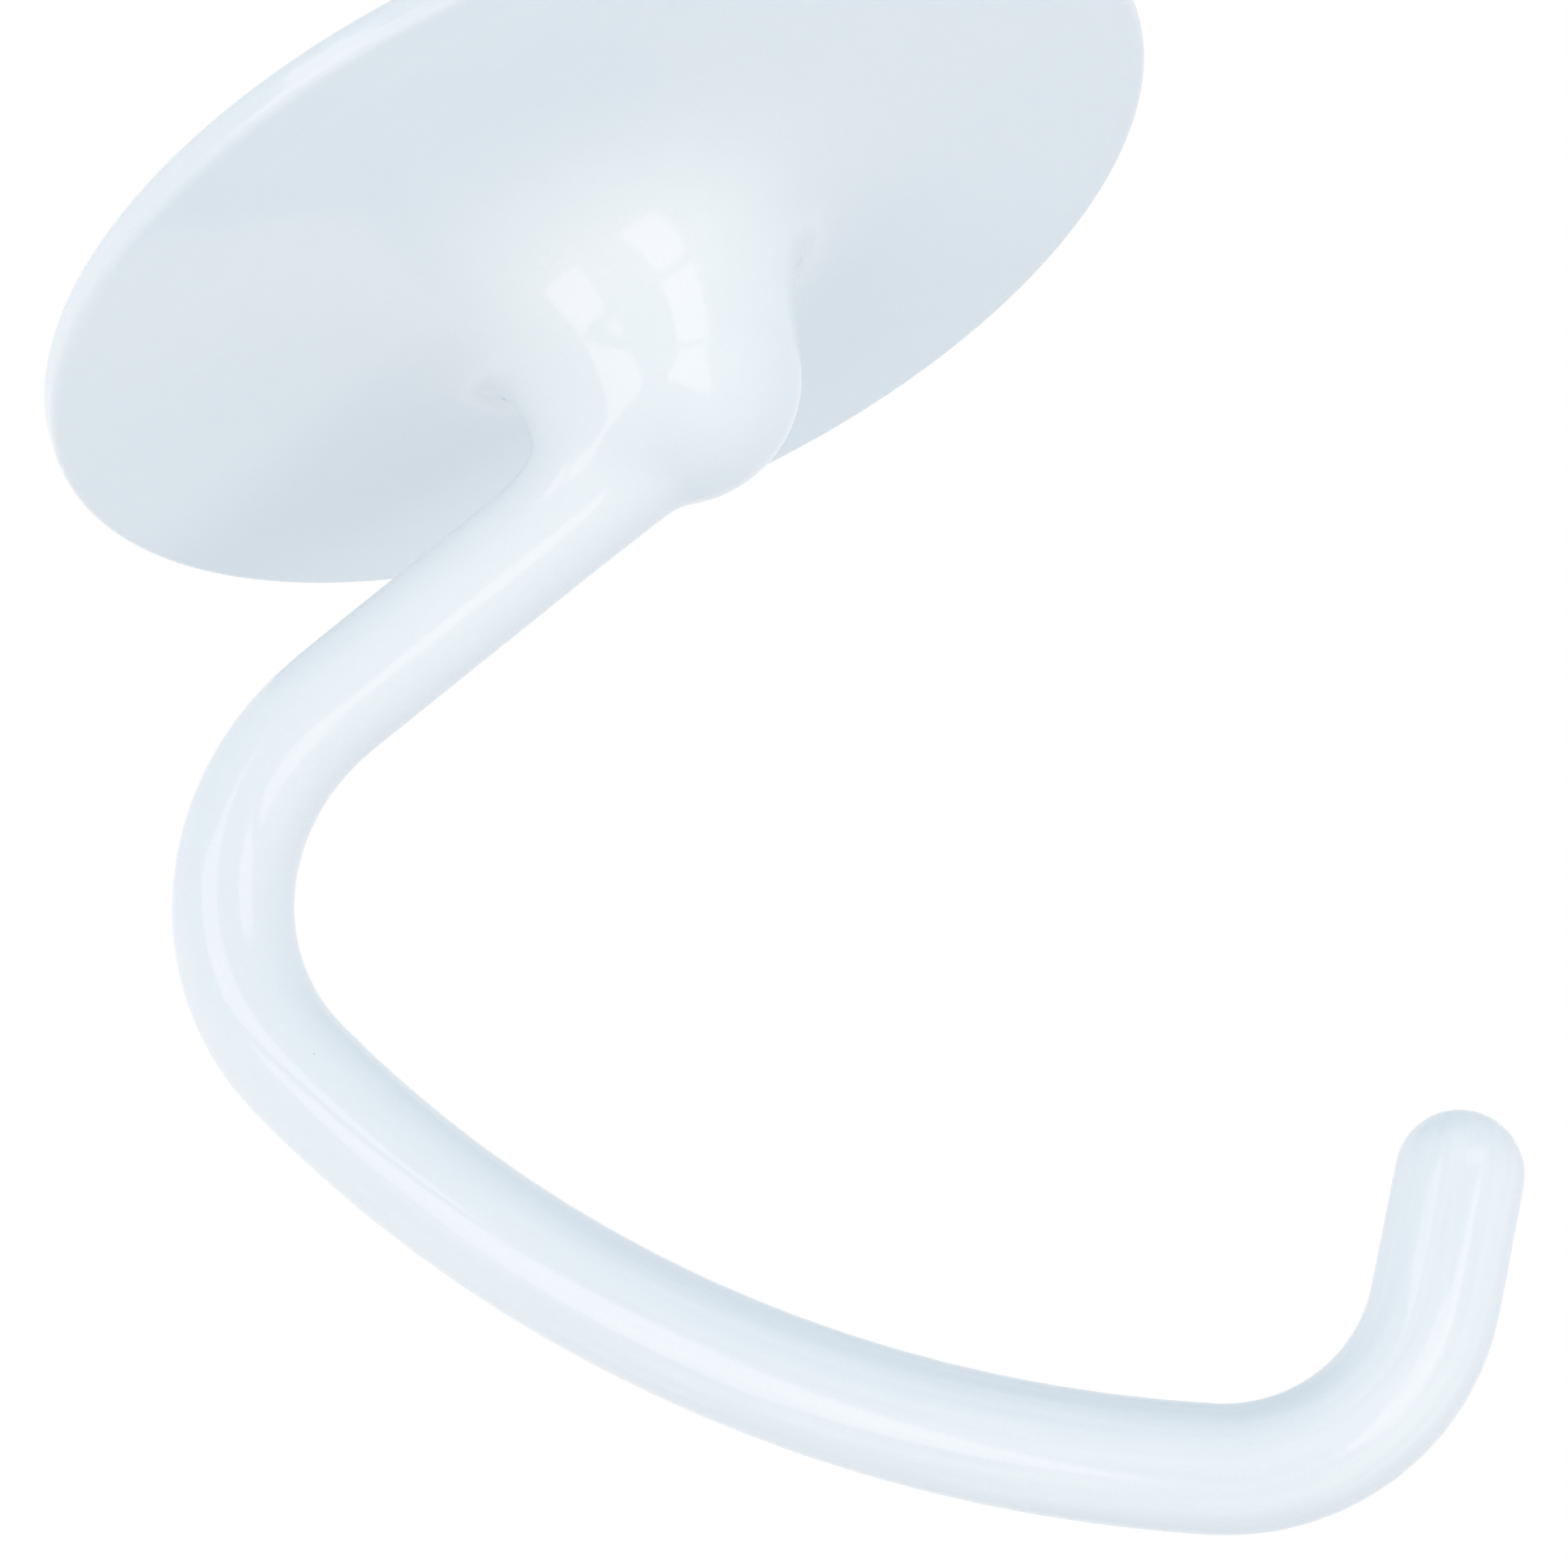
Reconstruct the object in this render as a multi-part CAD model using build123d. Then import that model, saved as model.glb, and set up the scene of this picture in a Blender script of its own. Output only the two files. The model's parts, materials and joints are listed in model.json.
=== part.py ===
from build123d import *
import os
from math import cos, radians, tan

# Dough hook for a stand mixer, cast in one piece, in millimetres and degrees.
# Z is the axis of the drive socket, z = 0 is the height of the mixer's drive pin when the
# hook is locked on, and the hook's C lies in the XZ plane with its tip towards +X.

# The mixer's shaft and its cross pin, and the room they have in the hub
shaft_d = 12.7
pin_d = 4.76
shaft_clearance = 0.1       # all round the shaft
pin_clearance = 0.35        # on each side of the pin

# Hub
hub_d = 22.0
mouth_height = 14.0         # mouth of the socket above the locked pin
mouth_edge = 0.8
socket_depth = 36.0
socket_lead_in = 0.5
slot_heading = -90.0        # side of the hub where the pin enters
lock_turn = 40.0            # turn that brings the pin to the closed end of its slot

# Guard disc, with its low side over the neck
guard_d = 100.5
guard_thickness = 3.2
guard_tilt = 16.0
guard_drop = 13.35          # underside below the locked pin, on the hub's axis
guard_offset = 4.4          # centre of the disc from the hub's axis, down the slope
guard_low_edge = 0.5        # share of the thickness that the underside's edge rounds off
guard_top_edge = 0.3        # share of the thickness that the top's edge bevels off
guard_low_fillet_r = 9.0
guard_top_bevel = 1.5       # where the hub stands on the disc

# Boss under the guard, with a domed end
boss_length = 12.4          # underside of the guard to the centre of the dome, on the hub's axis

# Hook rod
rod_d = 10.15
neck_slope = 32.5           # below the horizontal
neck_inset = 1.8            # underside of the rod inside the dome
neck_length = 37.0          # hub's axis to the first bend
neck_fillet_r = 6.0
back_bend_r = 21.5
back_bend_turn = 95.0
sweep_r = 117.3
sweep_turn = 41.0
tip_bend_r = 16.4
tip_bend_turn = 82.5
tip_length = 10.3           # last bend to the centre of the round tip

# Sizes that follow from the ones above
hub_r = hub_d / 2
rod_r = rod_d / 2
socket_r = shaft_d / 2 + shaft_clearance
slot_width = pin_d + 2 * pin_clearance
dome_z = -guard_drop - boss_length
neck_z = dome_z - (hub_r - rod_r - neck_inset) / cos(radians(neck_slope))
slope_x = cos(radians(guard_tilt))
slope_z = (1 - slope_x ** 2) ** 0.5
guard_plane = Plane((0, 0, -guard_drop), x_dir=(slope_x, 0, slope_z), z_dir=(-slope_z, 0, slope_x))

# Most that each blend's wall can take
low_side_wall = boss_length - hub_r * tan(radians(guard_tilt))
low_fillet_limit = 1.4 * low_side_wall * tan(radians(90 - guard_tilt) / 2)
neck_fillet_limit = 0.6 * hub_r


def hub_and_boss():
    barrel = Cylinder(hub_r, mouth_height - dome_z, align=(Align.CENTER, Align.CENTER, Align.MIN))
    barrel = chamfer(barrel.edges().group_by(Axis.Z)[-1], mouth_edge)
    # The half ball's poles point along Y, clear of the neck
    dome = Rot(-90, 0, 0) * Sphere(hub_r, arc_size3=180, align=None)
    return Pos(0, 0, dome_z) * (barrel + dome)


def guard_disc():
    # The rim's rounding is two flats, which shade as one curve
    rim_r = guard_d / 2
    low = guard_low_edge * guard_thickness
    top = guard_top_edge * guard_thickness
    flat = low * (1 - cos(radians(45)))
    section = Polyline(
        (0, 0),
        (rim_r - low, 0),
        (rim_r - flat, flat),
        (rim_r, low),
        (rim_r, guard_thickness - top),
        (rim_r - top, guard_thickness),
        (0, guard_thickness),
        close=True,
    )
    disc = revolve(Plane.XZ * make_face(section), Axis.Z)
    return guard_plane * Pos(-guard_offset, 0, 0) * disc


def hook_path():
    neck = PolarLine((0, neck_z), neck_length, 180 + neck_slope)
    back_bend = JernArc(neck @ 1, neck % 1, back_bend_r, back_bend_turn)
    sweep_arc = JernArc(back_bend @ 1, back_bend % 1, sweep_r, sweep_turn)
    tip_bend = JernArc(sweep_arc @ 1, sweep_arc % 1, tip_bend_r, tip_bend_turn)
    tip = Line(tip_bend @ 1, tip_bend @ 1 + tip_length * (tip_bend % 1))
    return Plane.XZ * Wire([neck, back_bend, sweep_arc, tip_bend, tip])


def hook_rod():
    path = hook_path()
    start = Plane(path @ 0, z_dir=path % 0)
    end = Plane(path @ 1, z_dir=path % 1)
    rod = sweep(start * Circle(rod_r), path=path)
    return rod + end * Sphere(rod_r, arc_size1=0, align=None)


def socket():
    mouth = Pos(0, 0, mouth_height)
    bore = mouth * Cylinder(socket_r, socket_depth, align=(Align.CENTER, Align.CENTER, Align.MAX))
    lead_in = Cone(socket_r, socket_r + socket_lead_in, socket_lead_in,
                   align=(Align.CENTER, Align.CENTER, Align.MAX))
    return bore + mouth * lead_in


def pin_slot():
    # Straight entry from the mouth, then a turn about the hub's axis to a round closed end
    reach = hub_r + slot_width
    entry = Box(reach, slot_width, mouth_height, align=(Align.MIN, Align.CENTER, Align.MIN))
    corner = Rot(0, 90, 0) * Cylinder(slot_width / 2, reach, align=(Align.CENTER, Align.CENTER, Align.MIN))
    end = Rot(0, 0, -lock_turn) * corner
    section = Plane.XZ * Rectangle(reach, slot_width, align=(Align.MIN, Align.CENTER))
    turn = revolve(section, Axis.Z, -lock_turn)
    return Rot(0, 0, slot_heading) * (entry + corner + turn + end)


def under_guard(edge):
    return guard_plane.to_local_coords(edge.center()).Z < guard_thickness / 2


def over_guard(edge):
    return not under_guard(edge)


def dough_hook():
    hub = hub_and_boss()
    disc = guard_disc()
    body = hub + disc
    low_joint = new_edges(hub, disc, combined=body).filter_by(under_guard)
    body = fillet(low_joint, min(guard_low_fillet_r, low_fillet_limit))
    top_joint = new_edges(hub, disc, combined=body).filter_by(over_guard)
    body = chamfer(top_joint, guard_top_bevel)
    rod = hook_rod()
    hook = body + rod
    neck_joint = new_edges(body, rod, combined=hook)
    hook = fillet(neck_joint, min(neck_fillet_r, neck_fillet_limit))
    return hook - socket() - pin_slot()


os.makedirs("parts", exist_ok=True)
export_step(dough_hook(), "parts/dough_hook.step")
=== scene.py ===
import json
from math import cos, radians, sin

import bpy
import numpy as np
from mathutils import Matrix, Vector

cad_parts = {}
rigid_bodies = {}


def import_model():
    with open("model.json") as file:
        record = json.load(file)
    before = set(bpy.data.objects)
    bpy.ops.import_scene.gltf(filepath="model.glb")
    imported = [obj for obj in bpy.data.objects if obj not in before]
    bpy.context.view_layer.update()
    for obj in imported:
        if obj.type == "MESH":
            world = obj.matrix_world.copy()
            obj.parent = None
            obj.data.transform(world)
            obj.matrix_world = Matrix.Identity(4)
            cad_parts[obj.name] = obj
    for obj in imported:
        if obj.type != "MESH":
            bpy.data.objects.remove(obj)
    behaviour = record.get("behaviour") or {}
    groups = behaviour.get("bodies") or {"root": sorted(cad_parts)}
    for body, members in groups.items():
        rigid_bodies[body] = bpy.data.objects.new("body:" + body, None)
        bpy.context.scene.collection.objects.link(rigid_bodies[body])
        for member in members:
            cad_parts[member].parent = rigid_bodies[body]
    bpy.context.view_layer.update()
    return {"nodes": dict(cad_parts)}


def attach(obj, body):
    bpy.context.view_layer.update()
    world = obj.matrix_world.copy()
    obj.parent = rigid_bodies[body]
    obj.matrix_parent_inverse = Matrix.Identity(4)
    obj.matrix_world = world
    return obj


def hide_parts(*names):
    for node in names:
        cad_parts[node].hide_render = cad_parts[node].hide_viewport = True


# start from an empty file
for leftover in list(bpy.data.objects):
    bpy.data.objects.remove(leftover)

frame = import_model()
print("frame loaded:", sorted(frame["nodes"]))


# camera, fitted to the photograph's outline
cameraLook = {
    "target": (0.00565, 0.0, -0.06389),
    "distance": 0.43172,
    "azimuth": 7.25,       # degrees towards the tip
    "elevation": -20.94,   # the hook is seen from below
    "roll": -6.28,
    "lens": 121.12,
    "sensor": 36.0,
    "nearest": 0.01,
}


def lookFrom(azimuth, elevation):
    azimuth = radians(azimuth)
    elevation = radians(elevation)
    return Vector((sin(azimuth) * cos(elevation), -cos(azimuth) * cos(elevation), sin(elevation)))


def addCamera(look):
    back = lookFrom(look["azimuth"], look["elevation"])
    level = Vector((cos(radians(look["azimuth"])), sin(radians(look["azimuth"])), 0.0))
    upright = back.cross(level)
    roll = radians(look["roll"])
    side = cos(roll) * level + sin(roll) * upright
    top = cos(roll) * upright - sin(roll) * level
    place = Vector(look["target"]) + back * look["distance"]
    bpy.ops.object.camera_add()
    camera = bpy.context.object
    camera.name = "photoCamera"
    camera.matrix_world = Matrix((
        (side.x, top.x, back.x, place.x),
        (side.y, top.y, back.y, place.y),
        (side.z, top.z, back.z, place.z),
        (0.0, 0.0, 0.0, 1.0),
    ))
    camera.data.lens = look["lens"]
    camera.data.sensor_width = look["sensor"]
    camera.data.clip_start = look["nearest"]
    bpy.context.scene.camera = camera


addCamera(cameraLook)
print("camera placed")


# the casting: a copy of the CAD node in an even, fine mesh, with its blends eased
castingLook = {
    "grid": 0.00066,
    "mergeGap": 0.000001,
    "trips": 2,                    # rounds of remeshing and easing
    "smoothing": 0.5,
    "passes": 4,
    "guard": {
        "tilt": 16.0,
        "drop": 0.01335,           # underside below the origin, on the hub's axis
        "swell": 0.0010,           # the underside swells a little towards the boss
        "swellReach": 0.010,
    },
    "boss": {
        "radius": 0.011,
        "domeHeight": -0.02575,    # centre of its round end
        "flareJoin": 0.013,        # how far from the corner it starts to flare into the guard
        "lowFlareJoin": 0.029,     # the same on the guard's low side
    },
    "neck": {
        "radius": 0.005075,
        "fanLength": 0.017,        # it fans out sideways towards the boss
        "fanSpread": 0.3,
        "join": 0.008,             # as flareJoin, where the neck leaves the boss
        "heelJoin": 0.001,         # and under the boss, where the corner is crisp
        "heelRate": 1.3,           # how soon it gets crisp
    },
    "easing": {
        "reach": 0.045,            # from the hub's axis
        "lowEnd": -0.0455,         # just over the back bend
        "wall": 0.0042,            # what lies deeper is the socket's and stays
        "steps": 6,
        "stride": 0.0008,          # longest move in a step
        "probe": 0.00002,          # distance over which the slope is taken
        "leastSlope": 0.2,
    },
    "rim": {
        "centre": 0.0045,          # from the hub's axis, down the guard's slope
        "radius": 0.04975,
        "thickness": 0.0032,
        "lowCorner": 0.0008,       # tight below
        "topCorner": 0.0014,       # and round above
        "reach": 0.0025,           # inwards from the rim
    },
    "rod": {
        "height": -0.03064,        # on the hub's axis
        "slope": 32.5,
        "runs": (                  # straight runs and bends, from the boss to the tip
            {"length": 0.037},
            {"radius": 0.0215, "turn": 95.0},
            {"radius": 0.1173, "turn": 41.0},
            {"radius": 0.0164, "turn": 82.5},
            {"length": 0.0154},    # with the round tip
        ),
        "reach": 0.007,            # from the path to just outside the rod
        "strokesFrom": 0.075,      # along the path
        "strokesFull": 0.115,
    },
}


def selectOnly(piece):
    bpy.ops.object.select_all(action="DESELECT")
    piece.select_set(True)
    bpy.context.view_layer.objects.active = piece


def turnPiece(piece, angle):
    piece.rotation_mode = "XYZ"
    piece.rotation_euler = (0.0, radians(angle), 0.0)
    bpy.ops.object.transform_apply(location=True, rotation=True, scale=True)


def copyCasting(cadNode, look):
    selectOnly(cadNode)
    bpy.ops.object.duplicate()
    casting = bpy.context.object
    casting.name = "hookCasting"
    casting.data.name = "hookCasting"
    casting.parent = None
    for key in list(casting.keys()):
        del casting[key]
    bpy.ops.mesh.customdata_custom_splitnormals_clear()
    bpy.ops.object.mode_set(mode="EDIT")
    bpy.ops.mesh.select_all(action="SELECT")
    bpy.ops.mesh.remove_doubles(threshold=look["mergeGap"])
    bpy.ops.object.mode_set(mode="OBJECT")
    return casting


def evenMesh(casting, look):
    selectOnly(casting)
    turnPiece(casting, look["guard"]["tilt"])    # guard level with the grid
    casting.data.remesh_voxel_size = look["grid"]
    casting.data.use_remesh_fix_poles = False
    bpy.ops.object.voxel_remesh()
    turnPiece(casting, -look["guard"]["tilt"])


# the lower of two heights, rounded off where they meet
def softJoin(first, second, reach):
    overlap = np.maximum(reach - np.abs(first - second), 0.0) / reach
    return np.minimum(first, second) - overlap ** 3 * reach / 6


def belowGuard(points, guard):
    tilt = radians(guard["tilt"])
    return points[:, 0] * sin(tilt) - (points[:, 2] + guard["drop"]) * cos(tilt)


def heightOverBoss(points, guard, boss):
    x, y, z = points.T
    fromAxis = np.hypot(x, y)
    underDome = np.minimum(z - boss["domeHeight"], 0.0)
    overBoss = np.hypot(fromAxis, underDome) - boss["radius"]
    swell = guard["swell"] * np.exp((boss["radius"] - fromAxis) / guard["swellReach"])
    lowSide = 0.5 - 0.5 * x / fromAxis
    join = boss["flareJoin"] + (boss["lowFlareJoin"] - boss["flareJoin"]) * lowSide
    return softJoin(overBoss, belowGuard(points, guard) - swell, join)


def heightOverCasting(points, look):
    neck = look["neck"]
    x, y, z = points.T
    slope = radians(look["rod"]["slope"])
    drop = z - look["rod"]["height"]
    along = -x * cos(slope) - drop * sin(slope)     # down the neck
    across = drop * cos(slope) - x * sin(slope)     # from its heel to its back
    widen = 1.0 + neck["fanSpread"] * np.clip(1.0 - along / neck["fanLength"], 0.0, 1.0) ** 2
    end = np.minimum(along, 0.0)
    overNeck = np.sqrt(across ** 2 + (y / widen) ** 2 + end ** 2) - neck["radius"]
    heel = np.clip(-neck["heelRate"] * across / neck["radius"], 0.0, 1.0)
    join = neck["join"] + (neck["heelJoin"] - neck["join"]) * heel
    return softJoin(overNeck, heightOverBoss(points, look["guard"], look["boss"]), join)


def slopeOverCasting(points, look):
    probe = look["easing"]["probe"]
    slope = np.empty_like(points)
    for axis in range(3):
        shift = np.zeros(3)
        shift[axis] = probe
        rise = heightOverCasting(points + shift, look) - heightOverCasting(points - shift, look)
        slope[:, axis] = rise / (2 * probe)
    return slope


def readPoints(piece):
    points = np.empty(len(piece.data.vertices) * 3)
    piece.data.vertices.foreach_get("co", points)
    return points.reshape(-1, 3)


def writePoints(piece, points):
    piece.data.vertices.foreach_set("co", points.ravel())
    piece.data.update()


# moves the points near the boss onto the eased form, a few short steps at a time
def easeBlends(casting, look):
    easing = look["easing"]
    points = readPoints(casting)
    near = np.hypot(points[:, 0], points[:, 1]) < easing["reach"]
    near &= belowGuard(points, look["guard"]) > -look["grid"]
    near &= points[:, 2] > easing["lowEnd"]
    near[near] = heightOverCasting(points[near], look) > -easing["wall"]
    moved = points[near]
    for step in range(easing["steps"]):
        slope = slopeOverCasting(moved, look)
        steep = np.maximum((slope ** 2).sum(axis=1), easing["leastSlope"])
        move = np.clip(heightOverCasting(moved, look) / steep, -easing["stride"], easing["stride"])
        moved -= slope * move[:, None]
    points[near] = moved
    writePoints(casting, points)


def placeOnGuard(points, look):
    tilt = radians(look["guard"]["tilt"])
    upright = np.array((-sin(tilt), 0.0, cos(tilt)))
    downhill = np.array((-cos(tilt), 0.0, -sin(tilt)))
    centre = downhill * look["rim"]["centre"] - np.array((0.0, 0.0, look["guard"]["drop"]))
    height = (points - centre) @ upright
    spoke = points - centre - height[:, None] * upright
    return centre, upright, height, spoke


def nearRim(points, look):
    rim = look["rim"]
    height, spoke = placeOnGuard(points, look)[2:]
    reach = np.sqrt((spoke ** 2).sum(axis=1))
    return (reach > rim["radius"] - rim["reach"]) & (np.abs(height - rim["thickness"] / 2) < rim["thickness"])


# finer faces for the rim's corners
def refineRim(casting, look):
    mesh = casting.data
    centres = np.empty(len(mesh.polygons) * 3)
    mesh.polygons.foreach_get("center", centres)
    near = nearRim(centres.reshape(-1, 3), look)
    selectOnly(casting)
    bpy.ops.object.mode_set(mode="EDIT")
    bpy.ops.mesh.select_mode(type="FACE")
    bpy.ops.mesh.select_all(action="DESELECT")
    bpy.ops.object.mode_set(mode="OBJECT")
    mesh.polygons.foreach_set("select", near)
    bpy.ops.object.mode_set(mode="EDIT")
    bpy.ops.mesh.subdivide(number_cuts=1)
    bpy.ops.object.mode_set(mode="OBJECT")


# the rim's section is a box with a rounded corner below and above
def shapeRim(casting, look):
    rim = look["rim"]
    half = rim["thickness"] / 2
    points = readPoints(casting)
    near = nearRim(points, look)
    centre, upright, height, spoke = placeOnGuard(points[near], look)
    reach = np.sqrt((spoke ** 2).sum(axis=1))
    height = height - half
    corner = np.where(height < 0.0, rim["lowCorner"], rim["topCorner"])
    outward = reach - (rim["radius"] - corner)
    apart = np.abs(height) - (half - corner)
    rounded = (outward > 0.0) & (apart > 0.0)
    shrink = corner / np.where(rounded, np.hypot(outward, apart), 1.0)
    sideways = np.where(rounded, outward * shrink, np.where(outward > apart, corner, outward))
    updown = np.where(rounded, apart * shrink, np.where(outward > apart, apart, corner))
    newReach = rim["radius"] - corner + sideways
    newHeight = np.sign(height) * (half - corner + updown) + half
    points[near] = centre + spoke * (newReach / reach)[:, None] + newHeight[:, None] * upright
    writePoints(casting, points)


def smoothPiece(piece, look):
    ease = piece.modifiers.new("ease", "SMOOTH")
    ease.factor = look["smoothing"]
    ease.iterations = look["passes"]
    selectOnly(piece)
    bpy.ops.object.modifier_apply(modifier=ease.name)
    bpy.ops.object.shade_smooth()


hookNode = frame["nodes"]["dough_hook"]
hookCasting = copyCasting(hookNode, castingLook)
for trip in range(castingLook["trips"]):
    evenMesh(hookCasting, castingLook)
    easeBlends(hookCasting, castingLook)
smoothPiece(hookCasting, castingLook)
refineRim(hookCasting, castingLook)
shapeRim(hookCasting, castingLook)
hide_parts("dough_hook")
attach(hookCasting, "root")
print("casting made:", sum(face.loop_total - 2 for face in hookCasting.data.polygons), "triangles")


# how far along the rod's path each point lies, and how far off it
def followRod(points, rod):
    heading = radians(180.0 + rod["slope"])
    spot = np.array((0.0, rod["height"]))
    flat = points[:, (0, 2)]
    along = np.zeros(len(points))
    across = np.full(len(points), 1.0)
    done = 0.0
    for run in rod["runs"]:
        ahead = np.array((cos(heading), sin(heading)))
        aside = np.array((-sin(heading), cos(heading)))
        if "length" in run:
            length = run["length"]
            here = (flat - spot) @ ahead
            off = (flat - spot) @ aside
            spot = spot + ahead * length
        else:
            radius = run["radius"]
            length = radius * radians(run["turn"])
            centre = spot + aside * radius
            arm = flat - centre
            here = np.arctan2(arm @ ahead, -(arm @ aside)) * radius
            off = radius - np.hypot(arm[:, 0], arm[:, 1])
            heading += radians(run["turn"])
            spot = centre + radius * np.array((sin(heading), -cos(heading)))
        nearer = (here >= 0.0) & (here <= length) & (np.abs(off) < np.abs(across))
        along[nearer] = done + here[nearer]
        across[nearer] = off[nearer]
        done += length
    return along, across


def markStrokes(piece, rod):
    mesh = piece.data
    points = readPoints(piece)
    along, across = followRod(points, rod)
    share = np.clip((along - rod["strokesFrom"]) / (rod["strokesFull"] - rod["strokesFrom"]), 0.0, 1.0)
    share[np.abs(across) > rod["reach"]] = 0.0
    flow = np.stack((along, across, points[:, 1]), axis=1)
    mesh.attributes.new("strokeFlow", "FLOAT_VECTOR", "POINT").data.foreach_set("vector", flow.ravel())
    mesh.attributes.new("strokeShare", "FLOAT", "POINT").data.foreach_set("value", share)


markStrokes(hookCasting, castingLook["rod"])
print("strokes marked")


# glossy white coat, a little uneven, with fine grain, sparse specks and faint strokes along the rod
coatLook = {
    "noiseSpan": (0.3, 0.7),       # where most of a noise's values lie
    "deep": (0.800, 0.848, 0.876, 1.0),
    "pale": (0.880, 0.912, 0.924, 1.0),
    "tone": 0.5,                   # between deep and pale
    "patchScale": 35.0,
    "patchDetail": 4.0,
    "patchShare": 0.08,
    "grainScale": 4200.0,
    "grainDetail": 1.0,
    "grainShare": 0.12,
    "strokeStretch": (45.0, 900.0, 900.0),    # waves per metre along and across the rod
    "strokeDetail": 2.0,
    "strokeShare": 0.30,
    "strokeHeight": 0.0000015,
    "speck": (0.62, 0.64, 0.66, 1.0),
    "speckScale": 200.0,
    "speckSize": (0.0088, 0.022),  # dark core and soft edge
    "speckChance": 0.25,
    "specular": 0.4,
    "gloss": (0.05, 0.07),
    "glossScale": 90.0,
    "glossDetail": 3.0,
    "peelScale": 420.0,
    "peelDetail": 1.0,
    "peelHeight": 0.00001,
}


def addNoise(nodes, links, spot, scale, detail):
    noise = nodes.new("ShaderNodeTexNoise")
    noise.inputs["Scale"].default_value = scale
    noise.inputs["Detail"].default_value = detail
    links.new(spot, noise.inputs["Vector"])
    return noise.outputs["Fac"]


def addRange(nodes, links, value, spanFrom, spanTo):
    spread = nodes.new("ShaderNodeMapRange")
    spread.inputs["From Min"].default_value = spanFrom[0]
    spread.inputs["From Max"].default_value = spanFrom[1]
    spread.inputs["To Min"].default_value = spanTo[0]
    spread.inputs["To Max"].default_value = spanTo[1]
    links.new(value, spread.inputs["Value"])
    return spread.outputs["Result"]


def addMath(nodes, links, operation, first, second):
    step = nodes.new("ShaderNodeMath")
    step.operation = operation
    for socket, value in zip(step.inputs, (first, second)):
        if isinstance(value, float):
            socket.default_value = value
        else:
            links.new(value, socket)
    return step.outputs["Value"]


def addMix(nodes, links, share, first, second):
    mix = nodes.new("ShaderNodeMix")
    mix.data_type = "RGBA"
    links.new(share, mix.inputs["Factor"])
    for socket, value in ((mix.inputs[6], first), (mix.inputs[7], second)):
        if isinstance(value, tuple):
            socket.default_value = value
        else:
            links.new(value, socket)
    return mix.outputs[2]


def addBump(nodes, links, height, distance, below=None):
    bump = nodes.new("ShaderNodeBump")
    bump.inputs["Strength"].default_value = 1.0
    bump.inputs["Distance"].default_value = distance
    links.new(height, bump.inputs["Height"])
    if below:
        links.new(below, bump.inputs["Normal"])
    return bump.outputs["Normal"]


def makeCoat(look):
    coat = bpy.data.materials.new("whiteCoat")
    coat.use_nodes = True
    nodes = coat.node_tree.nodes
    links = coat.node_tree.links
    shader = nodes["Principled BSDF"]
    shader.inputs["Specular IOR Level"].default_value = look["specular"]
    spot = nodes.new("ShaderNodeTexCoord").outputs["Object"]
    noiseSpan = look["noiseSpan"]

    # strokes: waves stretched along the rod
    flow = nodes.new("ShaderNodeAttribute")
    flow.attribute_name = "strokeFlow"
    rodShare = nodes.new("ShaderNodeAttribute")
    rodShare.attribute_name = "strokeShare"
    stretch = nodes.new("ShaderNodeMapping")
    stretch.inputs["Scale"].default_value = look["strokeStretch"]
    links.new(flow.outputs["Vector"], stretch.inputs["Vector"])
    strokes = addNoise(nodes, links, stretch.outputs["Vector"], 1.0, look["strokeDetail"])
    strokes = addRange(nodes, links, strokes, noiseSpan, (-1.0, 1.0))
    strokes = addMath(nodes, links, "MULTIPLY", strokes, rodShare.outputs["Fac"])

    # colour: soft patches, grain and strokes
    patchSpan = (look["tone"] - look["patchShare"], look["tone"] + look["patchShare"])
    patches = addNoise(nodes, links, spot, look["patchScale"], look["patchDetail"])
    patches = addRange(nodes, links, patches, noiseSpan, patchSpan)
    grain = addNoise(nodes, links, spot, look["grainScale"], look["grainDetail"])
    grain = addRange(nodes, links, grain, noiseSpan, (-look["grainShare"], look["grainShare"]))
    streaky = addMath(nodes, links, "MULTIPLY", strokes, look["strokeShare"])
    tone = addMath(nodes, links, "ADD", patches, grain)
    tone = addMath(nodes, links, "ADD", tone, streaky)
    colour = addMix(nodes, links, tone, look["deep"], look["pale"])

    # specks: dots in a few of the cells
    cells = nodes.new("ShaderNodeTexVoronoi")
    cells.inputs["Scale"].default_value = look["speckScale"]
    links.new(spot, cells.inputs["Vector"])
    dots = addRange(nodes, links, cells.outputs["Distance"], look["speckSize"], (1.0, 0.0))
    pick = nodes.new("ShaderNodeSeparateColor")
    links.new(cells.outputs["Color"], pick.inputs["Color"])
    chosen = addMath(nodes, links, "LESS_THAN", pick.outputs["Red"], look["speckChance"])
    dots = addMath(nodes, links, "MULTIPLY", dots, chosen)
    links.new(addMix(nodes, links, dots, colour, look["speck"]), shader.inputs["Base Color"])

    # gloss: cloudy
    cloudy = addNoise(nodes, links, spot, look["glossScale"], look["glossDetail"])
    links.new(addRange(nodes, links, cloudy, noiseSpan, look["gloss"]), shader.inputs["Roughness"])

    # surface: orange peel and strokes
    peel = addNoise(nodes, links, spot, look["peelScale"], look["peelDetail"])
    surface = addBump(nodes, links, peel, look["peelHeight"])
    surface = addBump(nodes, links, strokes, look["strokeHeight"], surface)
    links.new(surface, shader.inputs["Normal"])
    return coat


whiteCoat = makeCoat(coatLook)
hookCasting.data.materials.clear()
hookCasting.data.materials.append(whiteCoat)
print("coat made")


# pale floor, well below the hook
floorLook = {
    "height": -0.75,
    "size": 6.0,
    "colour": (0.9, 0.9, 0.9, 1.0),
    "roughness": 0.9,
    "whiteShare": 0.85,        # of the backdrop's white where the camera sees the floor
}


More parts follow.
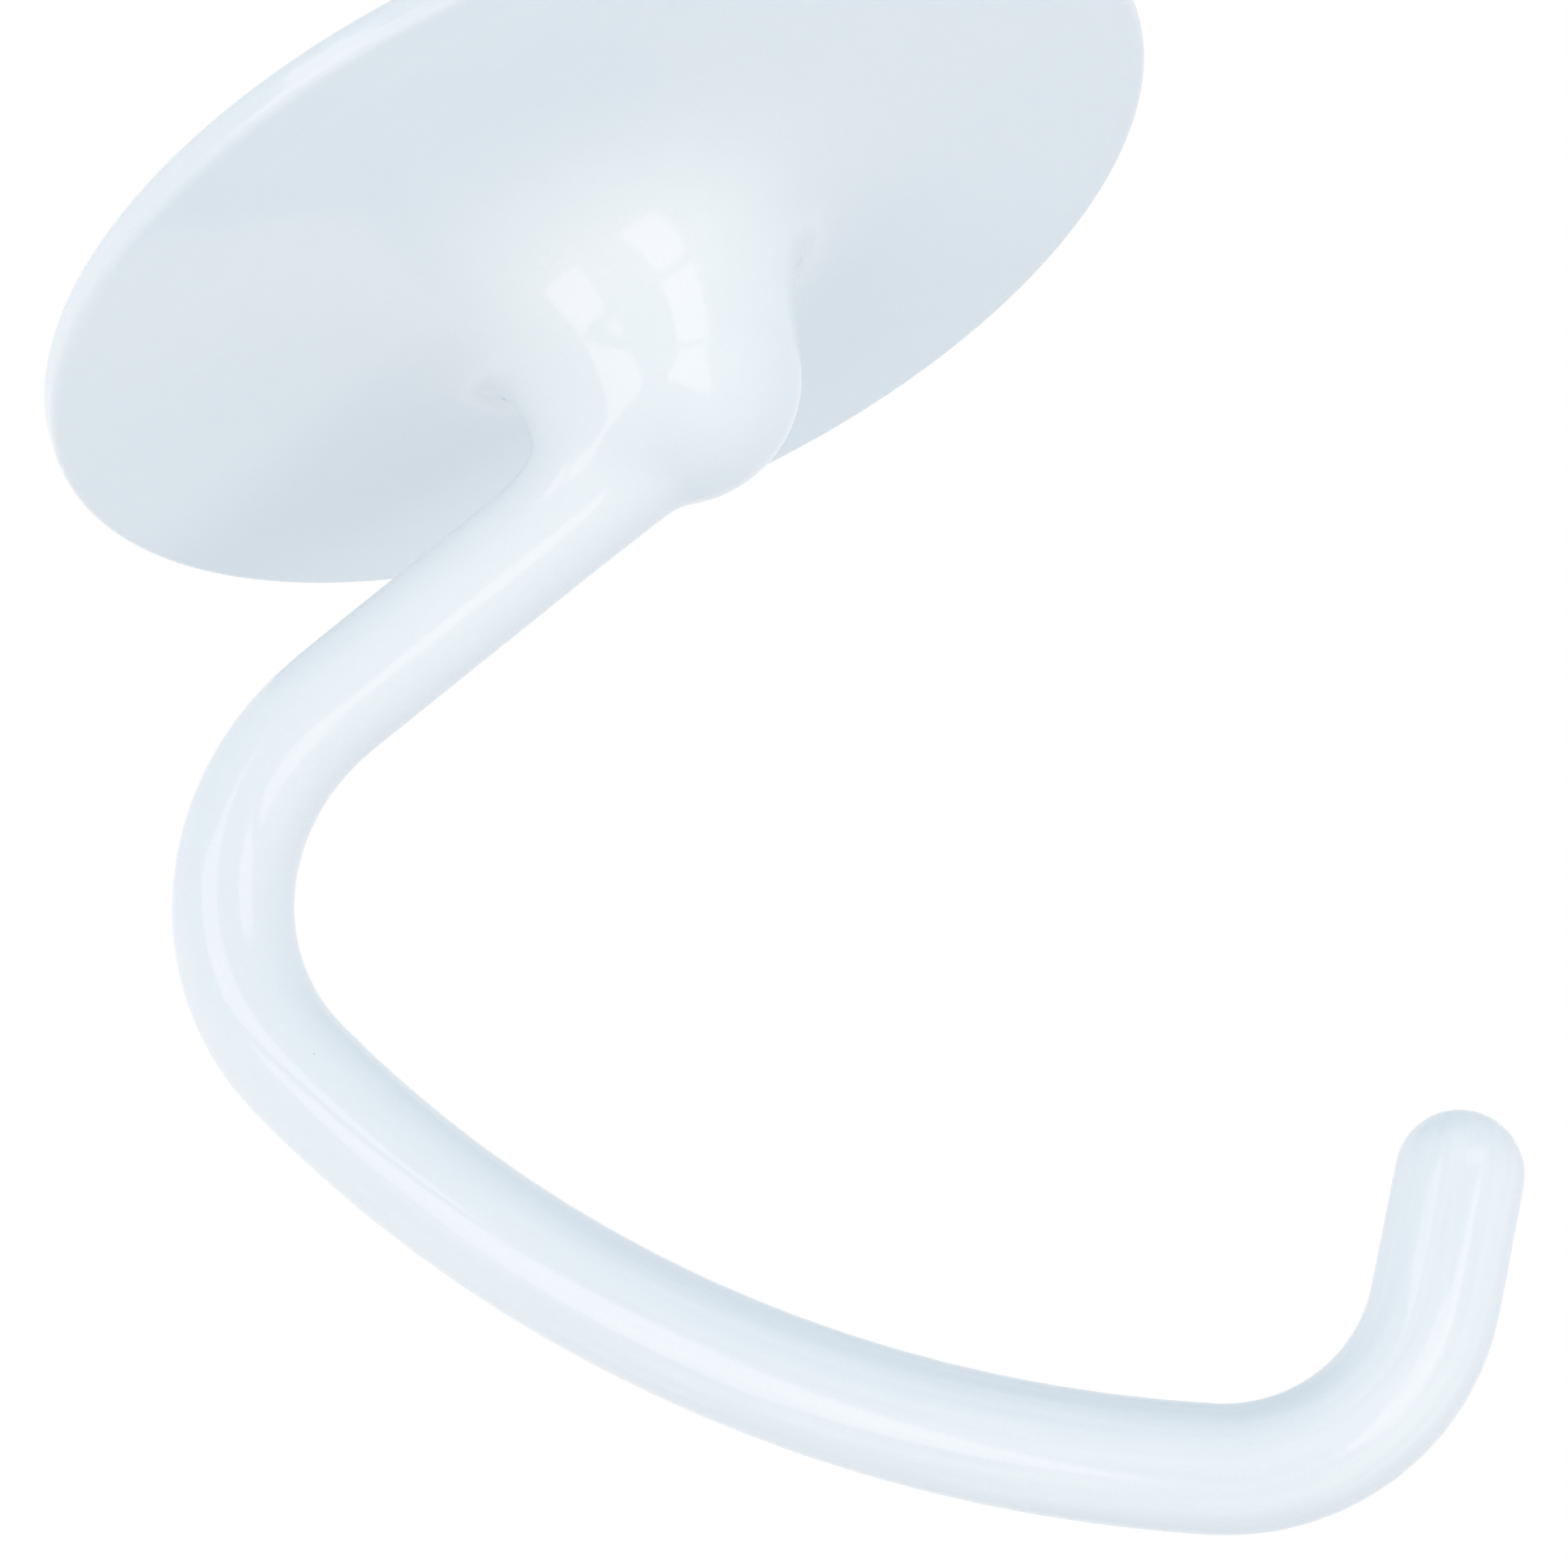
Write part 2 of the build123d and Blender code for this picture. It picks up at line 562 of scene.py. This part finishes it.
def addFloor(look):
    bpy.ops.object.select_all(action="DESELECT")
    bpy.ops.mesh.primitive_plane_add(size=look["size"], location=(0, 0, look["height"]))
    floor = bpy.context.object
    floor.name = "studioFloor"
    bpy.ops.object.transform_apply(location=True, rotation=True, scale=True)
    paper = bpy.data.materials.new("floorPaper")
    paper.use_nodes = True
    nodes = paper.node_tree.nodes
    links = paper.node_tree.links
    shader = nodes["Principled BSDF"]
    shader.inputs["Base Color"].default_value = look["colour"]
    shader.inputs["Roughness"].default_value = look["roughness"]
    path = nodes.new("ShaderNodeLightPath").outputs    # reflections show the floor as white as the backdrop
    mirrored = addMath(nodes, links, "MAXIMUM", path["Is Glossy Ray"], path["Is Transmission Ray"])
    seen = addMath(nodes, links, "MULTIPLY", path["Is Camera Ray"], look["whiteShare"])
    white = nodes.new("ShaderNodeEmission")
    mix = nodes.new("ShaderNodeMixShader")
    links.new(addMath(nodes, links, "MAXIMUM", mirrored, seen), mix.inputs["Fac"])
    links.new(shader.outputs[0], mix.inputs[1])
    links.new(white.outputs[0], mix.inputs[2])
    links.new(mix.outputs[0], nodes["Material Output"].inputs["Surface"])
    floor.data.materials.append(paper)


addFloor(floorLook)
print("floor laid")


# soft cards light the hook, and two tall windows of two panes each show only in its gloss
lightLook = {
    "aim": (0.0, 0.0, -0.04),      # lamps stand at degrees to the right, degrees up and metres from here
    "cards": {
        "leftFrontCard": {"from": (-27.0, -20.5, 0.94), "size": (0.65, 0.68), "power": 2.71},
        "leftHighCard": {"from": (-60.0, 42.0, 0.9), "size": (0.6, 0.6), "power": 1.15},
        "rightFrontCard": {"from": (38.0, -20.5, 0.94), "size": (0.52, 0.68), "power": 1.0},
        "rightHighCard": {"from": (38.0, 15.5, 0.94), "size": (0.52, 0.35), "power": 0.9},
        "rightSmallCard": {"from": (60.0, -10.0, 0.9), "size": (0.25, 0.25), "power": 1.4},
        "leftCard": {"from": (-95.0, 0.0, 0.9), "size": (0.8, 0.8), "power": 2.6},
        "rightCard": {"from": (105.0, 0.0, 0.9), "size": (0.8, 0.8), "power": 1.32},
        "backCard": {"from": (180.0, -10.0, 0.9), "size": (0.8, 0.8), "power": 1.54},
        "lowCard": {"from": (0.0, -88.0, 0.69), "size": (0.9, 0.9), "power": 0.25},
        "hubCard": {"from": (0.0, 89.0, 0.7), "size": (0.1, 0.1), "power": 0.007, "spread": 10.0},
    },
    "cardColour": (1.0, 0.855, 0.697),
    "panes": {
        "leftWindowLow": {"from": (-32.0, -20.5, 0.9), "size": (0.46, 0.65), "power": 1.70},
        "leftWindowHigh": {"from": (-32.0, 14.5, 0.9), "size": (0.46, 0.30), "power": 0.78},
        "rightWindowLow": {"from": (35.0, -20.5, 0.9), "size": (0.40, 0.65), "power": 1.48},
        "rightWindowHigh": {"from": (35.0, 15.5, 0.9), "size": (0.40, 0.33), "power": 0.75},
    },
    "paneColour": (1.0, 0.65, 0.68),
    "fill": (0.55, 0.77, 1.0, 1.0),
    "fillStrength": 0.62,
    "backdrop": (1.0, 1.0, 1.0, 1.0),
    "backdropStrength": 1.0,
}


def addLamp(name, lampLook, colour, aim):
    azimuth, elevation, distance = lampLook["from"]
    away = lookFrom(azimuth, elevation)
    bpy.ops.object.light_add(type="AREA", location=Vector(aim) + away * distance)
    lamp = bpy.context.object
    lamp.name = name
    lamp.data.shape = "RECTANGLE"
    lamp.data.size = lampLook["size"][0]
    lamp.data.size_y = lampLook["size"][1]
    lamp.data.energy = lampLook["power"]
    lamp.data.color = colour
    lamp.data.spread = radians(lampLook.get("spread", 180.0))
    lamp.rotation_euler = away.to_track_quat("Z", "Y").to_euler()
    lamp.visible_camera = False
    return lamp


def lightWorld(look):
    world = bpy.data.worlds.new("studioWorld")
    world.use_nodes = True
    bpy.context.scene.world = world
    nodes = world.node_tree.nodes
    links = world.node_tree.links
    nodes.clear()
    path = nodes.new("ShaderNodeLightPath").outputs    # the backdrop for the camera and for reflections
    shown = addMath(nodes, links, "MAXIMUM", path["Is Camera Ray"], path["Is Transmission Ray"])
    shown = addMath(nodes, links, "MAXIMUM", shown, path["Is Glossy Ray"])
    fill = nodes.new("ShaderNodeBackground")
    fill.inputs["Color"].default_value = look["fill"]
    fill.inputs["Strength"].default_value = look["fillStrength"]
    white = nodes.new("ShaderNodeBackground")
    white.inputs["Color"].default_value = look["backdrop"]
    white.inputs["Strength"].default_value = look["backdropStrength"]
    mix = nodes.new("ShaderNodeMixShader")
    out = nodes.new("ShaderNodeOutputWorld")
    links.new(shown, mix.inputs["Fac"])
    links.new(fill.outputs[0], mix.inputs[1])
    links.new(white.outputs[0], mix.inputs[2])
    links.new(mix.outputs[0], out.inputs["Surface"])


for cardName, cardLook in lightLook["cards"].items():
    card = addLamp(cardName, cardLook, lightLook["cardColour"], lightLook["aim"])
    card.visible_glossy = False
for paneName, paneLook in lightLook["panes"].items():
    pane = addLamp(paneName, paneLook, lightLook["paneColour"], lightLook["aim"])
    pane.visible_diffuse = False
lightWorld(lightLook)
bpy.context.scene.view_settings.view_transform = "Standard"
print("lights set")
